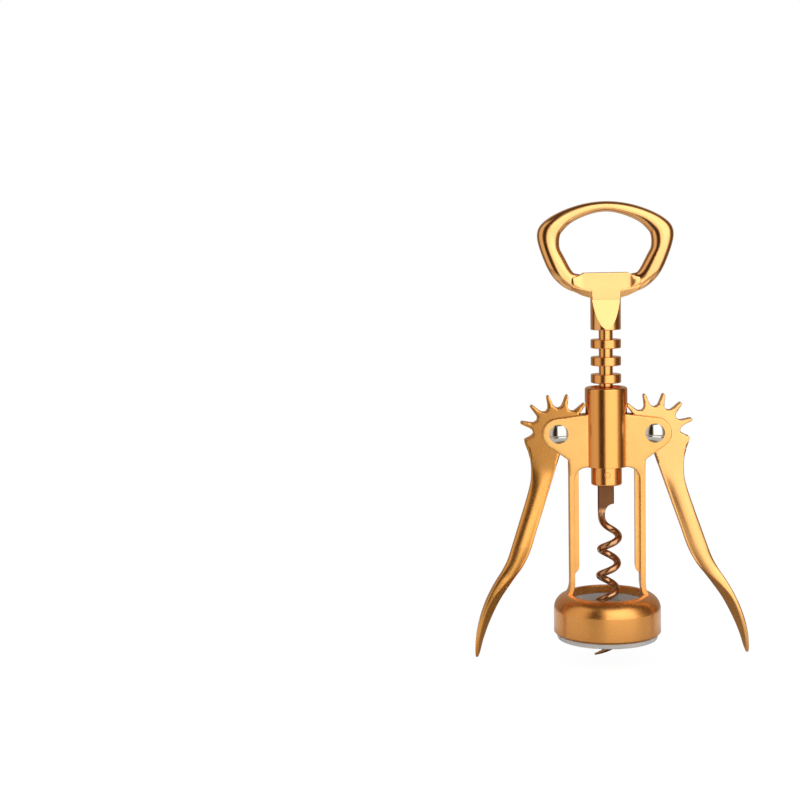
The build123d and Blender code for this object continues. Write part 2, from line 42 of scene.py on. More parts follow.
MM = 0.001
IMAGE_SIZE = 800
FOCAL_PX = 1715.0
SENSOR_MM = 36.0
CAMERA_PLACE = Vector((-51.3, -652.0, 162.0)) * MM
CAMERA_YAW = math.radians(-2.39)
CAMERA_PITCH = math.radians(-6.01)
CAMERA_ROLL = math.radians(-1.05)


def make_camera():
    """Camera at the photographed angle: level with the handle, a little to the left."""
    data = bpy.data.cameras.new("camera")
    data.sensor_width = SENSOR_MM
    data.lens = FOCAL_PX * SENSOR_MM / IMAGE_SIZE
    data.clip_start = 0.01
    camera = bpy.data.objects.new("camera", data)
    bpy.context.scene.collection.objects.link(camera)
    forward = Vector((math.sin(CAMERA_YAW) * math.cos(CAMERA_PITCH),
                      math.cos(CAMERA_YAW) * math.cos(CAMERA_PITCH),
                      math.sin(CAMERA_PITCH)))
    level_right = Vector((math.cos(CAMERA_YAW), -math.sin(CAMERA_YAW), 0.0))
    level_up = level_right.cross(forward)
    right = level_right * math.cos(CAMERA_ROLL) + level_up * math.sin(CAMERA_ROLL)
    up = level_up * math.cos(CAMERA_ROLL) - level_right * math.sin(CAMERA_ROLL)
    turn = Matrix((right, up, -forward)).transposed().to_4x4()
    camera.matrix_world = Matrix.Translation(CAMERA_PLACE) @ turn
    bpy.context.scene.camera = camera


# ---------------------------------------------------------------- materials

def new_material(name):
    """Empty node material with its output node."""
    material = bpy.data.materials.new(name)
    material.use_nodes = True
    tree = material.node_tree
    tree.nodes.clear()
    output = tree.nodes.new("ShaderNodeOutputMaterial")
    return material, tree, output


def noise_at(tree, coords, scale, detail, stretch=(1.0, 1.0, 1.0)):
    """Noise over object coordinates, stretched along the axes."""
    place = tree.nodes.new("ShaderNodeMapping")
    place.inputs["Scale"].default_value = stretch
    tree.links.new(coords, place.inputs["Vector"])
    noise = tree.nodes.new("ShaderNodeTexNoise")
    noise.inputs["Scale"].default_value = scale
    noise.inputs["Detail"].default_value = detail
    tree.links.new(place.outputs["Vector"], noise.inputs["Vector"])
    return noise.outputs["Fac"]


def map_range(tree, value, low, high, to_low, to_high):
    node = tree.nodes.new("ShaderNodeMapRange")
    node.inputs["From Min"].default_value = low
    node.inputs["From Max"].default_value = high
    node.inputs["To Min"].default_value = to_low
    node.inputs["To Max"].default_value = to_high
    tree.links.new(value, node.inputs["Value"])
    return node.outputs["Result"]


def bump(tree, height, strength, distance, under=None):
    node = tree.nodes.new("ShaderNodeBump")
    node.inputs["Strength"].default_value = strength
    node.inputs["Distance"].default_value = distance
    tree.links.new(height, node.inputs["Height"])
    if under is not None:
        tree.links.new(under, node.inputs["Normal"])
    return node.outputs["Normal"]


def object_coords(tree):
    return tree.nodes.new("ShaderNodeTexCoord").outputs["Object"]


def math_node(tree, operation, first, second):
    """Math node on sockets or plain numbers."""
    node = tree.nodes.new("ShaderNodeMath")
    node.operation = operation
    for slot, value in enumerate((first, second)):
        if isinstance(value, (int, float)):
            node.inputs[slot].default_value = value
        else:
            tree.links.new(value, node.inputs[slot])
    return node.outputs[0]


def height_of(tree, coords):
    split = tree.nodes.new("ShaderNodeSeparateXYZ")
    tree.links.new(coords, split.inputs[0])
    return split.outputs["Z"]


def distance_from_axis(tree, coords):
    """Distance from the worm's axis, from object coordinates."""
    flat = tree.nodes.new("ShaderNodeVectorMath")
    flat.operation = "MULTIPLY"
    flat.inputs[1].default_value = (1.0, 1.0, 0.0)
    tree.links.new(coords, flat.inputs[0])
    length = tree.nodes.new("ShaderNodeVectorMath")
    length.operation = "LENGTH"
    tree.links.new(flat.outputs["Vector"], length.inputs[0])
    return length.outputs["Value"]


def blend_values(tree, share, first, second):
    """Value that goes from first to second as share goes from 0 to 1."""
    node = tree.nodes.new("ShaderNodeMix")
    node.data_type = "FLOAT"
    tree.links.new(share, node.inputs["Factor"])
    for name, value in (("A", first), ("B", second)):
        if isinstance(value, float):
            node.inputs[name].default_value = value
        else:
            tree.links.new(value, node.inputs[name])
    return node.outputs["Result"]


def blend_colours(tree, share, first, second):
    """Colour that goes from first to second as share goes from 0 to 1."""
    node = tree.nodes.new("ShaderNodeMix")
    node.data_type = "RGBA"
    tree.links.new(share, node.inputs["Factor"])
    for name, colour in (("A", first), ("B", second)):
        if isinstance(colour, tuple):
            node.inputs[name].default_value = (*colour, 1.0)
        else:
            tree.links.new(colour, node.inputs[name])
    return node.outputs["Result"]


EDGE_RADIUS = 0.28 * MM
LACQUER_IOR = 1.55


def softened_edges(tree, radius):
    """Normal that rounds every sharp edge by the radius."""
    node = tree.nodes.new("ShaderNodeBevel")
    node.samples = 6
    node.inputs["Radius"].default_value = radius
    return node.outputs["Normal"]


LEAN_MIDDLE_X = -26.0 * MM
LEAN_FOOT = 36.0 * MM
LEAN_HEAD = 60.0 * MM


def leaning_height(tree, coords):
    """Ramp across the left lever's gear that fades out down the arm."""
    split = tree.nodes.new("ShaderNodeSeparateXYZ")
    tree.links.new(coords, split.inputs[0])
    share = map_range(tree, split.outputs["Z"], LEAN_FOOT, LEAN_HEAD, 0.0, 1.0)
    across = math_node(tree, "SUBTRACT", split.outputs["X"], LEAN_MIDDLE_X)
    return math_node(tree, "MULTIPLY", across, share)


# Scales of the plating's noise: turning lines, grain of a satin and of a smooth face, mottled
# roughness, worn patches
LINE_SCALE = 9000.0
SATIN_GRAIN = 2600.0
SMOOTH_GRAIN = 2000.0
MOTTLE_SCALE = 350.0
WORN_SCALE = 90.0
# Drawn out across the axis, the noise becomes lines round it
LINE_STRETCH = (0.01, 0.01, 1.0)
WORN_SHARE = 0.14
# Colour of the worn patches, as shares of the plating's own red, green and blue
WORN_TINT = (0.93, 0.72, 0.5)


def plated(name, colour, roughness, grain, grain_depth, turned=0.0, zones=None, lacquer=1.0,
           lean=0.0):
    """Lacquered metal plating: fine grain, mottled roughness and tint, turning lines where turned.

    zones gives a second colour and roughness and the share of them at each point; lean is the
    slope of the shading on the left lever's gear, which leaning_height fades out down its arm.
    """
    material, tree, output = new_material(name)
    coords = object_coords(tree)
    shader = tree.nodes.new("ShaderNodeBsdfPrincipled")
    shader.inputs["Metallic"].default_value = 1.0
    shader.inputs["Coat Weight"].default_value = lacquer
    shader.inputs["Coat IOR"].default_value = LACQUER_IOR
    fine = noise_at(tree, coords, grain, 2.0)
    normal = softened_edges(tree, EDGE_RADIUS)
    if lean:
        normal = bump(tree, leaning_height(tree, coords), 1.0, lean, normal)
    normal = bump(tree, fine, 1.0, grain_depth, normal)
    if turned:
        lines = noise_at(tree, coords, LINE_SCALE, 1.0, LINE_STRETCH)
        normal = bump(tree, lines, 1.0, turned, normal)
    tree.links.new(normal, shader.inputs["Normal"])
    tree.links.new(normal, shader.inputs["Coat Normal"])
    mottle = noise_at(tree, coords, MOTTLE_SCALE, 3.0)
    level = map_range(tree, mottle, 0.3, 0.7, 0.92, 1.08)
    base = roughness
    tint = colour
    if zones is not None:
        share, other_colour, other_roughness = zones(tree, coords)
        base = blend_values(tree, share, roughness, other_roughness)
        tint = blend_colours(tree, share, colour, other_colour)
    rough = math_node(tree, "MULTIPLY", level, base)
    tree.links.new(rough, shader.inputs["Roughness"])
    tree.links.new(rough, shader.inputs["Coat Roughness"])
    broad = noise_at(tree, coords, WORN_SCALE, 2.0)
    worn = map_range(tree, broad, 0.35, 0.65, 0.0, WORN_SHARE)
    deep = tuple(own * share for own, share in zip(colour, WORN_TINT))
    tree.links.new(blend_colours(tree, worn, tint, deep), shader.inputs["Base Color"])
    tree.links.new(shader.outputs["BSDF"], output.inputs["Surface"])
    return material


BARREL_RADIUS = 8.2 * MM
BARREL_FOOT = 60.0 * MM
BELL_TOP = 19.0 * MM
SHANK_FOOT = 49.5 * MM
LEG_HEAD = 60.0 * MM
# Share of the painted shade (the darker gold below) laid on the legs
LEG_SHADE_SHARE = 0.55
# Painted shade: darker, deeper gold for barrel, bell and legs
SHADED_DEEP_GOLD = (0.90, 0.385, 0.07)
BELL_ROUGHNESS = 0.28
BARREL_ROUGHNESS = 0.2
SHANK_COLOUR = (0.13, 0.05, 0.016)
SHANK_ROUGHNESS = 0.38


def turned_and_shaded_zone(tree, coords):
    """Smoother turned barrel, and painted shade: a deeper, darker gold than the plates on barrel
    and bell, and partly on the legs.
    """
    near = map_range(tree, distance_from_axis(tree, coords), BARREL_RADIUS, BARREL_RADIUS * 1.02,
                     1.0, 0.0)
    height = height_of(tree, coords)
    above = map_range(tree, height, BARREL_FOOT, BARREL_FOOT * 1.01, 0.0, 1.0)
    bell = map_range(tree, height, BELL_TOP, BELL_TOP * 1.15, 1.0, 0.0)
    barrel = math_node(tree, "MULTIPLY", near, above)
    rough = map_range(tree, barrel, 0.0, 1.0, BELL_ROUGHNESS, BARREL_ROUGHNESS)
    # Painted shade on the legs: part of the darker gold below LEG_HEAD
    leg = map_range(tree, height, LEG_HEAD, LEG_HEAD * 1.06, LEG_SHADE_SHARE, 0.0)
    share = math_node(tree, "MAXIMUM", math_node(tree, "MAXIMUM", barrel, bell), leg)
    return share, SHADED_DEEP_GOLD, rough


def shank_zone(tree, coords):
    """Dark flat shank above the wire."""
    share = map_range(tree, height_of(tree, coords), SHANK_FOOT, SHANK_FOOT * 1.03, 0.0, 1.0)
    return share, SHANK_COLOUR, SHANK_ROUGHNESS


def cast_gold():
    """Blasted casting, with a smoother turned barrel and painted shade: a deeper, darker gold on
    barrel, bell and legs.
    """
    return plated("cast_gold", (0.88, 0.475, 0.115), 0.34, SATIN_GRAIN, 0.000003,
                  zones=turned_and_shaded_zone)


LINER_IOR = 1.46
LINER_TRANSMISSION = 0.4
LINER_DULL = (0.86, 0.85, 0.82)
LINER_PALE = (0.93, 0.92, 0.90)
LINER_CLOUDS = 160.0
LINER_GRAIN = 1500.0


def clear_plastic():
    """Milky plastic of the liner, lit through."""
    material, tree, output = new_material("milky_plastic")
    coords = object_coords(tree)
    shader = tree.nodes.new("ShaderNodeBsdfPrincipled")
    shader.inputs["IOR"].default_value = LINER_IOR
    shader.inputs["Transmission Weight"].default_value = LINER_TRANSMISSION
    cloud = noise_at(tree, coords, LINER_CLOUDS, 3.0)
    tree.links.new(blend_colours(tree, map_range(tree, cloud, 0.35, 0.65, 0.0, 1.0),
                                 LINER_DULL, LINER_PALE),
                   shader.inputs["Base Color"])
    tree.links.new(map_range(tree, cloud, 0.3, 0.7, 0.30, 0.42), shader.inputs["Roughness"])
    tree.links.new(bump(tree, noise_at(tree, coords, LINER_GRAIN, 2.0), 1.0, 0.000003),
                   shader.inputs["Normal"])
    tree.links.new(shader.outputs["BSDF"], output.inputs["Surface"])
    return material


def dress(node, material):
    """Give a CAD node its finish."""
    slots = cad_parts[node].material_slots
    for slot in slots:
        slot.material = material


# ---------------------------------------------------------------- relief pieces

def distance_to_outline(point, outline):
    """Distance from a point to the closed outline."""
    best = None
    for first, last in zip(outline, outline[1:] + outline[:1]):
        along = last - first
        share = max(0.0, min(1.0, (point - first).dot(along) / along.length_squared))
        gap = (point - first - along * share).length
        if best is None or gap < best:
            best = gap
    return best


# Where the outline turns back on itself it has no inward side; a sharp corner's point moves in
# by no more than the distance over MITRE_LEAST, and a point has to keep its distance
FOLD_LEAST = 0.2
MITRE_LEAST = 0.5
INSET_KEPT = 0.93


def inset_points(outline, distance):
    """Points of the counter-clockwise outline moved inward by the distance."""
    points = []
    for before, here, after in zip(outline[-1:] + outline[:-1], outline, outline[1:] + outline[:1]):
        first = (here - before).normalized()
        last = (after - here).normalized()
        inward = Vector((-first.y - last.y, first.x + last.x))
        if inward.length < FOLD_LEAST:
            continue
        inward.normalize()
        square = max(MITRE_LEAST, inward.dot(Vector((-last.y, last.x))))
        moved = here + inward * (distance / square)
        if distance_to_outline(moved, outline) > INSET_KEPT * distance:
            points.append(moved)
    return points


# How far in from the edge each ring of points lies, as a share of the edge's radius
EDGE_RINGS = (0.08, 0.3, 0.62, 1.0)
# How far in a point of the face has to lie, as a share of the same radius
FACE_INSET = 1.15


def relief(outline, inner_points, half_depth, edge, back=None):
    """Points and faces of a plate with rounded edges, whose face follows half_depth(x, z).

    The plate is the same on both sides, or flat at y = back on its far side.
    """
    flat = list(outline)
    depth_in = [0.0] * len(outline)
    for share in EDGE_RINGS:
        ring = inset_points(outline, share * edge)
        flat += ring
        depth_in += [share * edge] * len(ring)
    for point in inner_points:
        gap = distance_to_outline(point, outline)
        if gap > FACE_INSET * edge:
            flat.append(point)
            depth_in.append(gap)
    loop = list(range(len(outline)))
    spots, _, triangles, origins, _, _ = delaunay_2d_cdt(flat, [], [loop], 1, 1e-9)
    front = []
    for spot, origin in zip(spots, origins):
        share = 1.0 if not origin else min(1.0, depth_in[origin[0]] / edge)
        drop = edge * (1.0 - math.sqrt(max(0.0, 1.0 - (1.0 - share) ** 2)))
        front.append(Vector((spot.x, -(half_depth(spot.x, spot.y) - drop), spot.y)))
    rim = [spot_index for index in loop
           for spot_index, origin in enumerate(origins) if index in origin]
    if back is None:
        rear = [Vector((p.x, -p.y, p.z)) for p in front]
    else:
        rear = [Vector((p.x, back, p.z)) for p in front]
    count = len(front)
    faces = []
    for triangle in triangles:
        a, b, c = (spots[i] for i in triangle)
        if (b - a).cross(c - a) < 0.0:
            triangle = triangle[::-1]
        faces.append(tuple(triangle))
        faces.append(tuple(i + count for i in reversed(triangle)))
    for first, last in zip(rim, rim[1:] + rim[:1]):
        faces.append((last, first, first + count, last + count))
    return front + rear, faces


def own_piece(name, points, faces, material, body):
    """Smooth-shaded piece of this script, in millimetres, that rides on a body."""
    mesh = bpy.data.meshes.new(name)
    mesh.from_pydata([p * MM for p in points], [], faces)
    mesh.validate()
    for polygon in mesh.polygons:
        polygon.use_smooth = True
    mesh.materials.append(material)
    piece = bpy.data.objects.new(name, mesh)
    bpy.context.scene.collection.objects.link(piece)
    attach(piece, body)
    return piece


# Height of a row of the triangular grid, as a share of its step
ROW_HEIGHT = 0.866


def grid_points(low, high, step):
    """Points of a triangular grid over a box."""
    points = []
    rows = int((high.y - low.y) / (step * ROW_HEIGHT)) + 1
    columns = int((high.x - low.x) / step) + 1
    for row in range(rows):
        shift = 0.5 * step * (row % 2)
        for column in range(columns):
            points.append(Vector((low.x + shift + column * step,
                                  low.y + row * step * ROW_HEIGHT)))
    return points


# ---------------------------------------------------------------- levers

PIVOT_X = 18.2
PIVOT_Z = 79.75
LEVER_HALF = 2.15
LEVER_EDGE = 0.34
LEFT_OPENING = 17.2
RIGHT_OPENING = 19.3
TOOTH_COUNT = 8
TOOTH_STEP = 28.65
FIRST_TOOTH_ANGLE = -0.3
VALLEY_FLOOR_R = 9.7
TOOTH_TIP_R = 15.1
# Half of a tooth's width at some distances from the pivot
TOOTH_FLANK = ((9.78, 1.9), (10.05, 1.52), (10.6, 1.2), (11.5, 1.0), (12.5, 0.86), (13.5, 0.74),
               (14.5, 0.6), (14.95, 0.4))
# Shoulder beside the first tooth: distance from the pivot and angle
SHOULDER = ((13.41, -36.6), (13.4, -32.5), (13.38, -29.4), (13.3, -27.6), (12.85, -26.1),
            (11.75, -24.6), (10.6, -22.0), (9.85, -18.6), (9.65, -14.8))
# Where the outer edge leaves the arm for the shoulder, from the pivot
SHOULDER_FOOT = (9.2, -9.9)
INNER_EDGE_TOP = -1.0
# Slices of the arm: height below the pivot; outer edge, inner edge and ridge; half thickness of
# the outer rim, of the ridge and of the inner edge; crown of the face.
ARM_ROWS = (
    (-9.0, 10.6, -2.8, -2.0, 2.15, 2.15, 2.15, 0.0),
    (-12.0, 7.9, -2.8, -2.0, 2.13, 2.13, 2.13, 0.02),
    (-14.5, 6.65, -2.8, -2.0, 2.08, 2.08, 2.08, 0.08),
    (-17.0, 5.75, -2.8, -2.0, 2.02, 2.02, 2.02, 0.24),
    (-20.5, 4.85, -2.8, -2.0, 1.94, 1.94, 1.94, 0.48),
    (-24.5, 4.5, -2.8, -2.0, 1.87, 1.87, 1.87, 0.68),
    (-29.0, 4.4, -2.8, -2.0, 1.82, 1.82, 1.82, 0.82),
    (-38.0, 4.4, -2.75, -2.0, 1.80, 1.80, 1.80, 0.94),
    (-46.5, 4.43, -2.75, -2.0, 1.80, 1.80, 1.80, 0.95),
    (-53.0, 4.55, -1.8, -1.0, 1.80, 1.85, 1.80, 0.90),
    (-58.0, 5.4, -0.15, 0.85, 2.15, 2.35, 1.65, 0.55),
    (-61.0, 6.2, 0.8, 2.5, 2.55, 2.80, 1.45, 0.35),
    (-64.0, 6.9, 1.7, 4.1, 2.90, 3.15, 1.25, 0.20),
    (-67.5, 7.55, 2.7, 5.7, 3.20, 3.45, 1.05, 0.10),
    (-72.0, 8.1, 3.6, 6.7, 3.35, 3.60, 0.90, 0.08),
    (-78.5, 8.3, 4.4, 6.8, 3.20, 3.45, 0.85, 0.08),
    (-84.9, 7.7, 4.7, 6.2, 2.75, 2.95, 0.85, 0.08),
    (-90.1, 6.5, 4.5, 5.2, 1.90, 2.05, 0.80, 0.06),
    (-92.4, 5.7, 4.6, 4.9, 1.00, 1.10, 0.55, 0.03),
)
ARM_STEP = 0.75
ARM_COLUMNS = 12
FLANK_COLUMNS = 5
ARM_EDGE_TOP = -12.0
ARM_FACE_TOP = -12.3
TIP_LENGTH = 0.3
GEAR_GRID = 0.8


def arm_row(z):
    """Arm slice at a height: smooth curve through the rows."""
    rows = ARM_ROWS
    if z >= rows[0][0]:
        return rows[0][1:]
    if z <= rows[-1][0]:
        return rows[-1][1:]
    index = next(i for i in range(len(rows) - 1) if rows[i + 1][0] <= z)
    share = (z - rows[index][0]) / (rows[index + 1][0] - rows[index][0])
    span = rows[index + 1][0] - rows[index][0]
    values = []
    for column in range(1, 8):
        start, end = rows[index][column], rows[index + 1][column]
        before = rows[max(0, index - 1)]
        after = rows[min(len(rows) - 1, index + 2)]
        slope_in = (end - before[column]) / (rows[index + 1][0] - before[0])
        slope_out = (after[column] - start) / (after[0] - rows[index][0])
        s2 = share * share
        s3 = s2 * share
        values.append((2 * s3 - 3 * s2 + 1) * start + (s3 - 2 * s2 + share) * span * slope_in
                      + (3 * s2 - 2 * s3) * end + (s3 - s2) * span * slope_out)
    return values


def lever_half_depth(x, z):
    """Half thickness of the lever: flat gear, crowned arm, flank behind the ridge."""
    outer, inner, ridge, rim_half, ridge_half, inner_half, crown = arm_row(z)
    if z > ARM_ROWS[0][0]:
        return LEVER_HALF
    if x >= ridge:
        share = max(0.0, min(1.0, (x - ridge) / (outer - ridge)))
        level = ridge_half + (rim_half - ridge_half) * share
        return level + crown * 4.0 * share * (1.0 - share)
    share = max(0.0, min(1.0, (x - inner) / max(0.1, ridge - inner)))
    return inner_half + (ridge_half - inner_half) * share


def polar(radius, angle, side=0.0):
    """Point at a distance along a spoke from the pivot, moved sideways."""
    a = math.radians(angle)
    return Vector((radius * math.cos(a) - side * math.sin(a),
                   radius * math.sin(a) + side * math.cos(a)))


def lever_outline():
    """Closed right lever about its pivot, counter-clockwise: shoulder, teeth, arm."""
    outline = [Vector(SHOULDER_FOOT)] + [polar(radius, angle) for radius, angle in SHOULDER]
    for index in range(TOOTH_COUNT):
        angle = FIRST_TOOTH_ANGLE + index * TOOTH_STEP
        if index:
            outline.append(polar(VALLEY_FLOOR_R, angle - TOOTH_STEP / 2))
        outline += [polar(r, angle, -w) for r, w in TOOTH_FLANK]
        outline.append(polar(TOOTH_TIP_R, angle))
        outline += [polar(r, angle, w) for r, w in reversed(TOOTH_FLANK)]
    last = FIRST_TOOTH_ANGLE + (TOOTH_COUNT - 0.5) * TOOTH_STEP
    outline.append(polar(VALLEY_FLOOR_R, last))
    bottom = ARM_ROWS[-1][0]
    top = ARM_EDGE_TOP
    inner_edge = [Vector((arm_row(INNER_EDGE_TOP)[1], INNER_EDGE_TOP))]
    outer_edge = []
    steps = int((top - bottom) / ARM_STEP)
    for index in range(steps + 1):
        z = top + (bottom - top) * index / steps
        row = arm_row(z)
        inner_edge.append(Vector((row[1], z)))
        outer_edge.append(Vector((row[0], z)))
    tip = Vector(((arm_row(bottom)[0] + arm_row(bottom)[1]) / 2, bottom - TIP_LENGTH))
    return outline + inner_edge + [tip] + outer_edge[::-1]


def lever_points():
    """Points inside the lever's outline: a grid on the gear, rows along the arm."""
    low = Vector((-TOOTH_TIP_R, ARM_EDGE_TOP))
    points = grid_points(low, Vector((TOOTH_TIP_R, TOOTH_TIP_R)), GEAR_GRID)
    steps = int((ARM_FACE_TOP - ARM_ROWS[-1][0]) / ARM_STEP)
    for index in range(steps):
        z = ARM_FACE_TOP - index * ARM_STEP
        outer, inner, ridge = arm_row(z)[:3]
        for column in range(ARM_COLUMNS + 1):
            points.append(Vector((ridge + (outer - ridge) * column / ARM_COLUMNS, z)))
        for column in range(1, FLANK_COLUMNS):
            points.append(Vector((ridge + (inner - ridge) * column / FLANK_COLUMNS, z)))
    return points


def lever_skin(name, node, opening, side, material):
    """Lever with its gear, opened and put on its pivot; side is 1 on the right.

    It has no bore: the rivet's shank runs through it, hidden under the cheek plates.
    """
    points, faces = relief(lever_outline(), lever_points(), lever_half_depth, LEVER_EDGE)
    turn = math.radians(opening)
    placed = []
    for p in points:
        x = p.x * math.cos(turn) - p.z * math.sin(turn)
        z = p.x * math.sin(turn) + p.z * math.cos(turn)
        placed.append(Vector((side * (PIVOT_X + x), p.y, PIVOT_Z + z)))
    if side < 0:
        faces = [face[::-1] for face in faces]
    body = "wing_right" if side > 0 else "wing_left"
    piece = own_piece(name, placed, faces, material, body)
    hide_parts(node)


# ---------------------------------------------------------------- cheek plates

PLATE_Y = 3.75
PLATE_PROUD = 0.12
PLATE_BACK = 2.5
PLATE_EDGE = 0.42
EAR_R = 5.85
EAR_OUTSET = 0.5
PLATE_ROOT_X = 6.6
PLATE_TOP_Z = 87.2
LEG_OUTER_X = 14.5
LEG_INNER_X = 12.4
WINDOW_TOP_Z = 66.85
WINDOW_R = 5.0
GUSSET_Z = 69.6
GUSSET_R = 1.6
PLATE_END_Z = 60.5
PLATE_SINK_Z = 67.0
PLATE_OUTLINE_STEP = 0.9
PLATE_GRID = 1.2
# The face is sunk in the leg from this far above the plate's end, by this many times its rise
PLATE_SUNK_ABOVE = 1.0
PLATE_SINK = 1.6
EAR_ARC_STEPS = 26
WINDOW_ARC_STEPS = 10


def touch_point(point, centre, radius, side):
    """Where the line from a point touches a circle; side chooses the upper or lower one."""
    away = centre - point
    spread = math.asin(radius / away.length)
    angle = math.atan2(away.y, away.x) + side * spread
    return point + Vector((math.cos(angle), math.sin(angle))) * away.length * math.cos(spread)


def arc(centre, start, end, count):
    """Points on the circle round centre from start counter-clockwise to end."""
    radius = (start - centre).length
    first = math.atan2(start.y - centre.y, start.x - centre.x)
    turn = (math.atan2(end.y - centre.y, end.x - centre.x) - first) % (2 * math.pi)
    angles = [first + turn * i / count for i in range(count + 1)]
    return [centre + Vector((math.cos(a), math.sin(a))) * radius for a in angles]


def dense(points, step):
    """The same path with points no farther apart than the step."""
    path = []
    for first, last in zip(points, points[1:] + points[:1]):
        count = max(1, math.ceil((last - first).length / step))
        path += [first + (last - first) * i / count for i in range(count)]
    return path


def cheek_outline():
    """Outline of the cheek plate on +X, counter-clockwise, with the gusset under the ear."""
    ear = Vector((PIVOT_X + EAR_OUTSET, PIVOT_Z))
    top = Vector((PLATE_ROOT_X, PLATE_TOP_Z))
    foot = Vector((LEG_OUTER_X, GUSSET_Z))
    low_touch = touch_point(foot, ear, EAR_R, -1)
    top_touch = touch_point(top, ear, EAR_R, 1)
    bend = (low_touch - foot).normalized() * GUSSET_R
    start = foot + Vector((0.0, -GUSSET_R))
    corner = [start + (foot - start) * 0.5, foot + bend * 0.2 + Vector((0.0, -0.12)),
              foot + bend * 0.6, foot + bend]
    window = Vector((LEG_INNER_X - WINDOW_R, WINDOW_TOP_Z - WINDOW_R))
    window_arc = arc(window, Vector((LEG_INNER_X, window.y)),
                     Vector((window.x, WINDOW_TOP_Z)), WINDOW_ARC_STEPS)[::-1]
    path = [Vector((PLATE_ROOT_X, WINDOW_TOP_Z))] + window_arc
    path += [Vector((LEG_INNER_X + 0.1, PLATE_END_Z)), Vector((LEG_OUTER_X - 0.1, PLATE_END_Z))]
    path += [start] + corner + arc(ear, low_touch, top_touch, EAR_ARC_STEPS) + [top]
    return dense(path, PLATE_OUTLINE_STEP)


def cheek_depth(x, z):
    """How far the plate's face stands from the middle plane: it sinks into the leg below."""
    share = max(0.0, min(1.0, (PLATE_SINK_Z - z) / (PLATE_SINK_Z - PLATE_END_Z - PLATE_SUNK_ABOVE)))
    share = share * share * (3.0 - 2.0 * share)
    return PLATE_Y + PLATE_PROUD - PLATE_SINK * PLATE_PROUD * share


def cheek_plates(material):
    """Faces of the four cheek plates, with rounded edges, over the casting's own."""
    outline = cheek_outline()
    low = Vector((PLATE_ROOT_X, PLATE_END_Z))
    inside = grid_points(low, Vector((PIVOT_X + 2 * EAR_R, PLATE_TOP_Z)), PLATE_GRID)
    front, front_faces = relief(outline, inside, cheek_depth, PLATE_EDGE, -PLATE_BACK)
    points = []
    faces = []
    for side, face_way in ((1, 1), (-1, 1), (1, -1), (-1, -1)):
        start = len(points)
        points += [Vector((side * p.x, face_way * p.y, p.z)) for p in front]
        for face in front_faces:
            turned = face if side * face_way > 0 else face[::-1]
            faces.append(tuple(start + i for i in turned))
    own_piece("cheek_plates", points, faces, material, "frame")


# ---------------------------------------------------------------- handle web

WEB_FACE_TOP = 2.0
WEB_FACE_FOOT = 2.38
WEB_EDGE = 0.3
WEB_TOP_Z = 140.7
WEB_HALF_WIDTH = 8.35
WEB_REACH = 14.4
WEB_FLAT_X = 8.5
WEB_CREST_X = 12.0
WEB_RISE = 0.45
WEB_SINK = 1.5
NECK_HALF_WIDTH = 5.35
WEB_FOOT_Z = 130.4
BEVEL_TOP_Z = 133.8
BAND_MIDDLE = (10.1, 136.65)
BAND_SLOPE = 0.42
BAND_HALF_WIDTH = 3.4
BAND_FALL = 0.8
# Right half of the web's outline, from its foot on the neck up
WEB_HALF_OUTLINE = (
    (NECK_HALF_WIDTH, WEB_FOOT_Z), (NECK_HALF_WIDTH + 0.3, BEVEL_TOP_Z), (9.0, 134.6),
    (12.2, 136.0), (WEB_REACH, 137.3), (WEB_REACH, 138.6), (12.2, 139.1),
    (WEB_HALF_WIDTH + 1.35, 139.8), (WEB_HALF_WIDTH, WEB_TOP_Z),
)
WEB_OUTLINE_STEP = 0.6
WEB_GRID = 0.5


def smooth_step(value, low, high):
    """0 below low, 1 above high, smooth between."""
    share = max(0.0, min(1.0, (value - low) / (high - low)))
    return share * share * (3.0 - 2.0 * share)


def web_outline():
    """Outline of the opener web between the band's feet, with its foot on the neck."""
    half = [Vector(p) for p in WEB_HALF_OUTLINE]
    other = [Vector((-p.x, p.y)) for p in half[::-1]]
    return dense(half + other, WEB_OUTLINE_STEP)


def web_depth(x, z):
    """Half thickness of the web: flat in the middle, swelling into the band's feet."""
    drop = smooth_step(WEB_TOP_Z - z, 0.0, WEB_TOP_Z - WEB_FOOT_Z)
    depth = WEB_FACE_TOP + (WEB_FACE_FOOT - WEB_FACE_TOP) * drop
    side = abs(x)
    depth += WEB_RISE * smooth_step(side, WEB_FLAT_X, WEB_CREST_X)
    depth -= WEB_SINK * max(0.0, (side - WEB_CREST_X) / (WEB_REACH - WEB_CREST_X)) ** 2
    middle = BAND_MIDDLE[1] + BAND_SLOPE * (side - BAND_MIDDLE[0])
    fall = BAND_FALL * smooth_step(side, WEB_FLAT_X + 1.5, WEB_CREST_X)
    return depth - fall * ((z - middle) / BAND_HALF_WIDTH) ** 2


def handle_web(material):
    """Opener web that runs smoothly into the band."""
    low = Vector((-WEB_REACH, WEB_FOOT_Z))
    inside = grid_points(low, Vector((WEB_REACH, WEB_TOP_Z)), WEB_GRID)
    points, faces = relief(web_outline(), inside, web_depth, WEB_EDGE)
    own_piece("handle_web", points, faces, material, "screw")


FOOT_OUTLINE = ((5.2, 131.0), (8.6, 132.0), (12.6, 133.9), (13.3, 136.0), (9.0, 134.9),
                (5.2, 134.1))
FOOT_LOW = (5.2, 130.95)
FOOT_HIGH = (13.4, 136.0)
FOOT_HEIGHT = 3.0
# The strip's lower edge rises outward by this slope and bend
FOOT_SLOPE = 0.24
FOOT_BEND = 0.02
FOOT_THIN = 1.6
FOOT_SWELL = 0.75
FOOT_EDGE = 0.3
FOOT_OUTLINE_STEP = 0.45
FOOT_GRID = 0.35


def foot_outline():
    """Slanted strip under the band from its foot to the neck, on +X."""
    return dense([Vector(p) for p in FOOT_OUTLINE], FOOT_OUTLINE_STEP)


